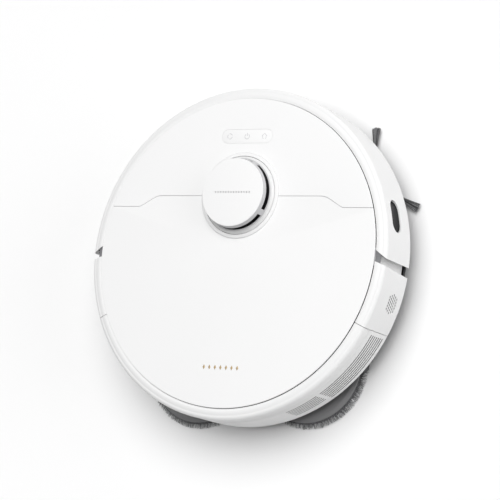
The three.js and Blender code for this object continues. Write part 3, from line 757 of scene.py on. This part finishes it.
# ---- Turret ----------------------------------------------------------------------------------
def turret():
    ring = lathe("turret_ring", rounded([
        (41.7, 78.2, 0.2), (RING_R, 78.2, 0.2), (RING_R, TOP_Z + 0.4, 0.4),
        (RING_R - 0.9, TOP_Z + 1.0, 0.5), (41.7, TOP_Z + 1.2, 0.5),
    ]), TURRET)
    place(ring, "root", "white_plastic", "turret_ring", material=SHADED_SHELL_WHITE)
    collar = lathe("turret_collar", rounded([
        (38.0, 80.7, 0.2), (FOOT_R, 80.7, 0.2), (FOOT_R, 81.8, 0.5), (39.4, 83.2, 1.0), (38.55, 84.9, 0.2),
        (37.5, 84.9, 0.2),
    ]), TURRET)
    place(collar, "turret", "white_plastic", material=SHADED_COLLAR_WHITE)
    skirt = lathe("turret_skirt", rounded([
        (37.4, 84.95), (38.65, 84.95), (CAP_TOP_R + 0.1, CAP_TOP_Z - 0.8), (CAP_TOP_R - 0.9, CAP_TOP_Z - 0.8),
    ]), TURRET)
    cutters = []
    for i, post in enumerate(POSTS):
        first = post + POST_HALF
        last = POSTS[(i + 1) % len(POSTS)] - POST_HALF + (360 if i == len(POSTS) - 1 else 0)
        cutters.append(turret_window(first, last))
    carve(skirt, cutters)
    soften(skirt, 0.12, 2)
    place(skirt, "turret", "pale_plastic", "turret_cap")
    top = lathe("turret_top", rounded([
        (0, CAP_TOP_Z - 1.6), (CAP_TOP_R - 1.1, CAP_TOP_Z - 1.6, 0.2), (CAP_TOP_R, CAP_TOP_Z - 0.8, 0.2),
        (CAP_TOP_R - 0.1, CAP_TOP_Z, 0.35), (0, CAP_TOP_Z),
    ], closed=False), TURRET)
    place(top, "turret", "white_plastic")


def laser_head():
    rotor = lathe("lidar_rotor", rounded([
        (0, 76.2), (4.8, 76.2), (4.8, 80.8), (29.5, 80.8, 1.0), (31.3, 83.0, 1.0), (31.3, 92.3, 0.6), (0, 92.3),
    ], closed=False), TURRET)
    carve(rotor, [block("lens", -13, 13, TURRET.y + 26.5, TURRET.y + 40, 84.6, 91)])
    barrel = rounded([(0, 0), (3.6, 0), (3.6, 2.0, 0.6), (2.4, 3.0, 0.6), (0, 2.6)], closed=False)
    lenses = [lathe_y("lens", barrel, x, TURRET.y + 26.6, LENS_Z, 48) for x in (-6.5, 6.5)]
    place(rotor, "laser_head", "black_gloss", "lidar_rotor")
    place(join("lidar_lenses", lenses), "laser_head", "black_gloss")


def turret_window(first, last):
    """Cutter for one window of the cap, between two posts."""
    obj = arc_part("cut", [(32, 85.6), (44, 85.6), (44, 91.6), (32, 91.6)], first, last, 32)
    obj.data.transform(Matrix.Translation(TURRET.to_3d() * MM))
    return obj


# ---- Buttons and decoration ------------------------------------------------------------------
def wire(points, width):
    """A thin raised line of ink on the plane z = 0."""
    curve = flat_curve("3D", points, False)
    curve.bevel_depth = width / 2 * MM
    curve.use_fill_caps = True
    return curve_mesh("wire", curve, Matrix.Diagonal((1, 1, INK_H / width, 1)))


def icon_power(x, y):
    return [wire(arc_points(2.7, 125, 415, 24, (x, y - 0.2)), 0.75), wire([(x, y + 0.2), (x, y + 3.4)], 0.75)]


def icon_home(x, y):
    roof = [(x - 3.0, y + 0.2), (x, y + 2.9), (x + 3.0, y + 0.2)]
    wall = [(x - 2.0, y + 0.4), (x - 2.0, y - 2.4), (x - 0.8, y - 2.4)]
    return [wire(line, 0.7) for line in (roof, wall, [(2 * x - a, b) for a, b in wall])]


def icon_spot(x, y):
    return [wire(arc_points(2.8, 20 + 120 * k, 110 + 120 * k, 10, (x, y)), 0.7) for k in range(3)]


def buttons():
    face_z = TOP_Z + 0.05
    strip = plate("button_strip", stadium(*PILL, PILL_SIZE.x, PILL_SIZE.y, 24), 78.0, face_z, 0.2)
    place(strip, "buttons", "white_plastic", "button_strip")
    x, y = PILL
    icons = join("button_icons", icon_spot(x - BUTTON_PITCH, y) + icon_power(x, y) + icon_home(x + BUTTON_PITCH, y))
    icons.data.transform(Matrix.Translation((0, 0, face_z * MM)))
    place(icons, "buttons", "white_plastic", material=ICON)


def lozenges(name, centre, count, pitch, size, z):
    """A row of small diamond inlays."""
    parts = []
    w, h = size
    y = centre[1]
    for i in range(count):
        x = centre[0] + (i - (count - 1) / 2) * pitch
        parts.append(plate("p", [(x - w, y), (x, y - h), (x + w, y), (x, y + h)], z - 0.2, z + INK_H, 0.05))
    return join(name, parts)


def decoration():
    lid_row = lozenges("lid_inlay", (0, -121), 7, 6.6, (1.5, 2.6), TOP_Z - 0.05)
    place(lid_row, "lid", "white_plastic", material=GOLD)
    cap_row = lozenges("turret_inlay", TURRET, 14, 3.1, (0.6, 1.4), CAP_TOP_Z - 0.12)
    place(cap_row, "turret", "white_plastic", material=ICON)


# ---- Chassis underside -----------------------------------------------------------------------
def chassis():
    spots = MOP_CENTRES.values()
    pan = lathe("chassis", rounded(PAN_PROFILE, closed=False))
    edge = cylinder("edge", PAN_R, PAN_Z, DOME_Z)
    domes = fused([cylinder("dome", DOME_R, PAN_Z, DOME_Z, spot) for spot in spots])
    carve(domes, [edge], "INTERSECT")
    carve(pan, [domes], "UNION")
    carve(pan, [fused([cylinder("bay", BAY_R, 0, BAY_Z, spot) for spot in spots])])
    x, *rest = WHEEL_OPENING
    holes = [cylinder("hole", MOP_SHAFT_R, *THROUGH_PAN_Z, spot, 64) for spot in spots]
    holes += [rounded_block("hole", side * x, *rest) for side in (-1, 1)]
    holes.append(rounded_block("hole", *BRUSH_OPENING))
    holes.append(cylinder("hole", CASTER_HOLE_R, *THROUGH_PAN_Z, (0, CASTER_HOLE_Y), 96))
    holes.append(cylinder("hole", 8, *THROUGH_PAN_Z, HUB[:2], 48))
    carve(pan, holes)
    carve(pan, [prism("groove", stadium(x, y, 22, 7), PAN_Z - 1.0, PAN_Z + 0.5) for x, y in CLIFFS])
    soften(pan, 0.35)
    place(pan, "root", "dark_plastic", "chassis")
    lenses = [plate("lens", stadium(x, y, 21.4, 6.4), PAN_Z + 0.1, PAN_Z + 0.6, 0.15) for x, y in CLIFFS]
    place(join("cliff_sensors", lenses), "root", "black_gloss")
    x, y, length, width = CONTACT
    contacts = [plate("contact", stadium(side * x, y, length, width, 8), PAN_Z - 0.25, PAN_Z + 0.2, 0.12)
                for side in (-1, 1)]
    place(join("charge_contacts", contacts), "root", "steel")
    place(join("underside_screws", [screw(x, y) for x, y in SCREWS]), "root", "steel")


def screw(x, y):
    """Pan-head screw seen from below, with a cross recess."""
    profile = rounded([(0, 9.6), (1.9, 9.6, 0.5), (2.6, 10.2), (0, 10.2)], closed=False)
    head = lathe("screw", profile, (x, y), 32)
    for w, h in ((1.3, 0.25), (0.25, 1.3)):
        carve(head, [block("cross", x - w, x + w, y - h, y + h, 9, 9.9)])
    return head


def rounded_block(name, x, y, w, h, r):
    """Cutter through the pan with rounded corners."""
    corners = [(x + i * w / 2, y + j * h / 2, r) for i, j in ((-1, -1), (1, -1), (1, 1), (-1, 1))]
    return prism(name, rounded(corners), *THROUGH_PAN_Z)


# ---- Mops ------------------------------------------------------------------------------------
def strand_mesh(name, paths, slot, body, material, *nodes):
    """Many thin tapered fibres. Each path is (points, base width, tip width, tone)."""
    verts, faces, tones = [], [], []
    for points, w0, w1, tone in paths:
        first = len(verts)
        n = len(points)
        for i, p in enumerate(points):
            along = (points[min(i + 1, n - 1)] - points[max(i - 1, 0)]).normalized()
            side = along.cross(Vector((0, 0, 1)))
            side = side.normalized() if side.length > 1e-6 else Vector((1, 0, 0))
            up = side.cross(along)
            w = (w0 + (w1 - w0) * i / (n - 1)) / 2
            for k in range(3):
                a = 2 * math.pi * k / 3 + 0.5
                verts.append(p + side * (w * math.cos(a)) + up * (w * math.sin(a)))
                # each strand's own tone, darkened towards its root: painted shade where the strands crowd together
                tones.append(tone * (0.55 + 0.45 * i / (n - 1)))
        for i in range(n - 1):
            for k in range(3):
                a, b = first + i * 3 + k, first + i * 3 + (k + 1) % 3
                faces.append((a, b, b + 3, a + 3))
        faces.append((first + 2, first + 1, first))
        last = first + (n - 1) * 3
        faces.append((last, last + 1, last + 2))
    mesh = bpy.data.meshes.new(name)
    mesh.from_pydata([tuple(v * MM) for v in verts], [], faces)
    mesh.shade_smooth()
    layer = mesh.attributes.new("tone", "FLOAT", "POINT")
    layer.data.foreach_set("value", tones)
    return place(linked(name, mesh), body, slot, *nodes, material=material)


def mop(name):
    centre = MOP_CENTRES[name].to_3d()
    rng = random.Random(name)
    profile = rounded([
        (0, 0.9), (58.0, 0.9, 1.0), (62.6, 1.6, 1.5), (63.3, 4.4, 1.5), (61.0, 6.6, 1.0), (0, 6.7),
    ], closed=False)
    rings = []
    for (r0, z0), (r1, z1) in zip(profile, profile[1:]):
        n = max(1, round(math.hypot(r1 - r0, z1 - z0) / 1.6))
        rings += [(r0 + (r1 - r0) * k / n, z0 + (z1 - z0) * k / n) for k in range(n)]
    rings.append(profile[-1])
    pad = lathe(f"mop_pad_{name}", rings, centre[:2], 180)
    for v in pad.data.vertices:
        low = max(0.0, (0.0030 - v.co.z) / 0.0030)
        v.co.z += (rng.random() - 0.5) * 0.0009 * low + 0.0002 * low
    place(pad, f"mop_{name}", "mop_fabric", f"mop_pad_{name}")
    paths = []
    for i in range(MOP_STRANDS):
        a = 360 * (i + rng.random()) / MOP_STRANDS
        z = 1.2 + rng.random() * 5.0
        reach = 62.4 + rng.random() * 0.6
        tip = FRINGE_R - rng.random() * 2.4
        bend = (rng.random() - 0.5) * 2.6
        drop = rng.random() * 1.1
        points = []
        for k in range(4):
            t = k / 3
            r = reach + (tip - reach) * t
            x, y = polar(r, a + bend * t * t)
            points.append(centre + Vector((x, y, max(0.3, z - drop * t * t))))
        paths.append((points, 0.95, 0.45, rng.random()))
    strand_mesh(f"mop_fringe_{name}", paths, "mop_fabric", f"mop_{name}", FRINGE)
    disc = lathe(f"mop_plate_{name}", rounded([
        (0, 7.0), (61.2, 7.0, 0.5), (61.2, 8.4, 0.8), (57.0, 9.3, 1.5), (13, 9.4, 0.5), (13, 12.8, 0.5),
        (5.8, 12.8), (5.8, 38), (0, 38),
    ], closed=False), centre[:2])
    place(disc, f"mop_{name}", "dark_plastic", f"mop_plate_{name}", material=MOP_TOP)


# ---- Side brush ------------------------------------------------------------------------------
def side_brush():
    hub = lathe("side_brush_hub", rounded([
        (0, 5.4), (11.4, 5.4, 1.0), (12.2, 9.2, 1.0), (3, 9.2), (3, 24), (0, 24),
    ], closed=False), HUB[:2], 96)
    outline = rounded([(5, -4.2), (22, -3.4, 2), (28, -2.8, 1.2), (28, 2.8, 1.2), (22, 3.4, 2), (5, 4.2)])
    for a in TUFTS:
        arm = prism("arm", outline, 5.0, 8.2)
        arm.data.transform(Matrix.Translation(HUB * MM) @ Matrix.Rotation(math.radians(a), 4, "Z"))
        carve(hub, [arm], "UNION")
    soften(hub, 0.4)
    place(hub, "side_brush", "dark_plastic", "side_brush_hub")
    rng = random.Random(3)
    paths = []
    for a in TUFTS:
        for _ in range(TUFT_STRANDS):
            spread = rng.random() - 0.5
            start = 24 + rng.random() * 3
            tip = 60.5 - abs(spread) * 2.5 - rng.random() * 1.2
            z0, z1 = 6.0 + (rng.random() - 0.5) * 1.6, 4.6 + (rng.random() - 0.5) * 2.4
            points = []
            for k in range(6):
                t = k / 5
                along = start + (tip - start) * t
                across = spread * (3.4 + 6.6 * t * t)
                local = Matrix.Rotation(math.radians(a), 2) @ Vector((along, across))
                points.append(Vector((HUB.x + local.x, HUB.y + local.y, z0 + (z1 - z0) * t)))
            paths.append((points, 0.6, 0.42, rng.random() ** 1.6))
    name = "side_brush_bristles"
    strand_mesh(name, paths, "bristle", "side_brush", MATERIALS["bristle"], name)


# ---- Wheels and main brush -------------------------------------------------------------------
def tyre(side, name):
    """Tyre with a chevron of raised bars, made as one swept ring."""
    steps, across = 240, 16
    x0, x1 = TYRE_X
    verts = []
    for i in range(steps):
        a = 360 * i / steps
        for k in range(across + 1):
            u = k / across
            phase = (a / 360 * TYRE_BARS + abs(u - 0.5) * 1.1) % 1
            raised = 1 / (1 + math.exp((abs(phase - 0.5) - 0.25) * 40))
            shoulder = min(1.0, min(u, 1 - u) * 7)
            r = WHEEL_R - 2.0 + 1.95 * raised - 1.3 * (1 - math.sqrt(1 - (1 - shoulder) ** 2))
            y, z = polar(r, a)
            verts.append((side * (x0 + (x1 - x0) * u), WHEEL_Y + y, WHEEL_R + z))
        y, z = polar(TYRE_BORE, a)
        verts += [(side * x, WHEEL_Y + y, WHEEL_R + z) for x in (x1, x0)]
    obj = tidy_mesh(mesh_object(f"wheel_tyre_{name}", verts, skin(steps, across + 3)), 50)
    place(obj, f"wheel_{name}", "rubber", f"wheel_tyre_{name}")


def wheel_hub(side, name):
    """Dished hub with spokes on its outer face and a stub axle inwards."""
    profile = rounded([
        (0, 110.4), (5, 110.4), (5, 116.2), (29.4, 116.2, 0.5), (29.4, 136.8, 1.0), (26, 136.8, 1.0),
        (25, 131.5, 1.5), (9, 131.5, 1.0), (8, 135.5, 1.0), (0, 135.5),
    ], closed=False)
    obj = lathe_x(f"wheel_hub_{name}", profile, 0, 0, 0, 128)
    outwards = Matrix.Rotation(math.pi / 2, 4, "Y")
    for k in range(SPOKES):
        spoke = prism("spoke", [(7, -2.2), (26, -3.0), (26, 3.0), (7, 2.2)], 131.0, 134.5)
        spoke.data.transform(outwards @ Matrix.Rotation(2 * math.pi * k / SPOKES, 4, "Z"))
        carve(obj, [spoke], "UNION")
    flip = Matrix.Diagonal((side, 1, 1, 1))
    obj.data.transform(Matrix.Translation(Vector((0, WHEEL_Y, WHEEL_R)) * MM) @ flip)
    if side < 0:
        obj.data.flip_normals()
    soften(obj, 0.35)
    place(obj, f"wheel_{name}", "grey_plastic", f"wheel_hub_{name}")


def roller_fins():
    """Rubber blades in a V along the roller."""
    steps = 60
    blade = [(10.6, -24), (11.2, -10), (12.5, -5), (19.6, -2.6), (19.9, 0)]    # radius, degrees
    blade += [(r, -a) for r, a in reversed(blade[:-1])]
    verts = []
    for i in range(steps + 1):
        x = -ROLLER_HALF + 2 * ROLLER_HALF * i / steps
        twist = abs(x) / ROLLER_HALF * ROLLER_TWIST
        for fin in range(ROLLER_FINS):
            for r, a in blade:
                y, z = polar(r, a + fin * 360 / ROLLER_FINS + twist)
                verts.append((x, ROLLER_Y + y, ROLLER_Z + z))
    faces = skin(steps + 1, len(blade) * ROLLER_FINS, wraps=False)
    obj = tidy_mesh(mesh_object("roller_fins", verts, faces), 40)
    bore = [(0, -90), (8.3, -90), (8.3, 90), (0, 90)]
    carve(obj, [lathe_x("bore", bore, 0, ROLLER_Y, ROLLER_Z, 64)])
    place(obj, "roller", "rubber", "roller_fins")


def caster_wheel():
    profile = rounded([
        (2.2, -7.5), (13.0, -7.5, 1.0), (14.9, -4.5, 2.0), (14.9, 4.5, 2.0), (13.0, 7.5, 1.0), (2.2, 7.5),
    ])
    obj = lathe_x("caster_wheel", profile, 0, CASTER_Y, CASTER_Z, 128)
    place(obj, "caster_wheel", "rubber", "caster_wheel")


# ---- Remaining CAD pieces: softened edges and their finish -----------------------------------
def dress_cad():
    slots = {part["node"]: part["material_slot"] for part in frame["record"]["subparts"]}
    for node, obj in frame["nodes"].items():
        if obj.hide_render:
            continue
        obj.data.materials.clear()
        obj.data.materials.append(MATERIALS[slots[node]])
        obj.data.shade_smooth()
        obj.data.set_sharp_from_angle(angle=math.radians(28))
        if "spring" not in node:
            soften(obj, 0.35, 2, 35)


# ---- Studio ----------------------------------------------------------------------------------
def studio():
    corners = [(x * FLOOR_HALF, y * FLOOR_HALF, 0) for x, y in ((-1, -1), (1, -1), (1, 1), (-1, 1))]
    floor = mesh_object("floor", corners, [(0, 1, 2, 3)])
    floor.data.materials.append(moulded("floor", (0.95, 0.95, 0.95), 0.8, 40.0, 0.02, 0.004))
    scene = bpy.context.scene
    scene.world = bpy.data.worlds.new("studio")
    scene.world.use_nodes = True
    background = scene.world.node_tree.nodes["Background"].inputs
    background["Color"].default_value = (1, 1, 1, 1)
    background["Strength"].default_value = WORLD_STRENGTH
    for name, towards, spread, strength in LIGHTS:
        light = bpy.data.lights.new(name, "SUN")
        light.angle = math.radians(spread)
        light.energy = strength
        linked(name, light).rotation_euler = Vector(towards).to_track_quat("Z", "Y").to_euler()
    scene.view_settings.view_transform = "Standard"
    scene.view_settings.look = "None"


def camera():
    """The photograph's view: from the right and a little behind, high up, with the bumper at the top."""
    data = bpy.data.cameras.new("camera")
    data.sensor_width = 36
    data.lens = 163.8
    data.clip_end = 50
    right = Vector((0.86419, 0.11026, -0.49093))
    up = Vector((-0.01427, 0.98067, 0.19514))
    back = Vector((0.50296, -0.16164, 0.84906))
    position = Vector((1.19488, -0.37595, 2.06536))
    obj = linked("camera", data)
    obj.matrix_world = Matrix((
        (right.x, up.x, back.x, position.x), (right.y, up.y, back.y, position.y),
        (right.z, up.z, back.z, position.z), (0, 0, 0, 1)))
    bpy.context.scene.camera = obj


# ---- Build -----------------------------------------------------------------------------------
bumper()
window("side_sensor_window", SENSOR_DEG, SENSOR_Z, SENSOR_SIZE, 0.8)
window("front_sensor_window", 90, FRONT_WINDOW_Z, FRONT_WINDOW_SIZE, 0.4)
ledges("bumper_gap_pads", "grey_plastic", 162.6, 168.4, 77.05, 0.2)
ledges("bumper_gap_steps", "pale_plastic", 159.2, 162.8, 79.4, 0.3)
side_shell("side_shell_left")
side_shell("side_shell_right")
rear_cover()
lid_and_cover()
turret()
laser_head()
buttons()
decoration()
chassis()
for mop_side, mop_name in ((-1, "left"), (1, "right")):
    mop(mop_name)
    tyre(mop_side, mop_name)
    wheel_hub(mop_side, mop_name)
side_brush()
roller_fins()
caster_wheel()
dress_cad()
studio()
camera()
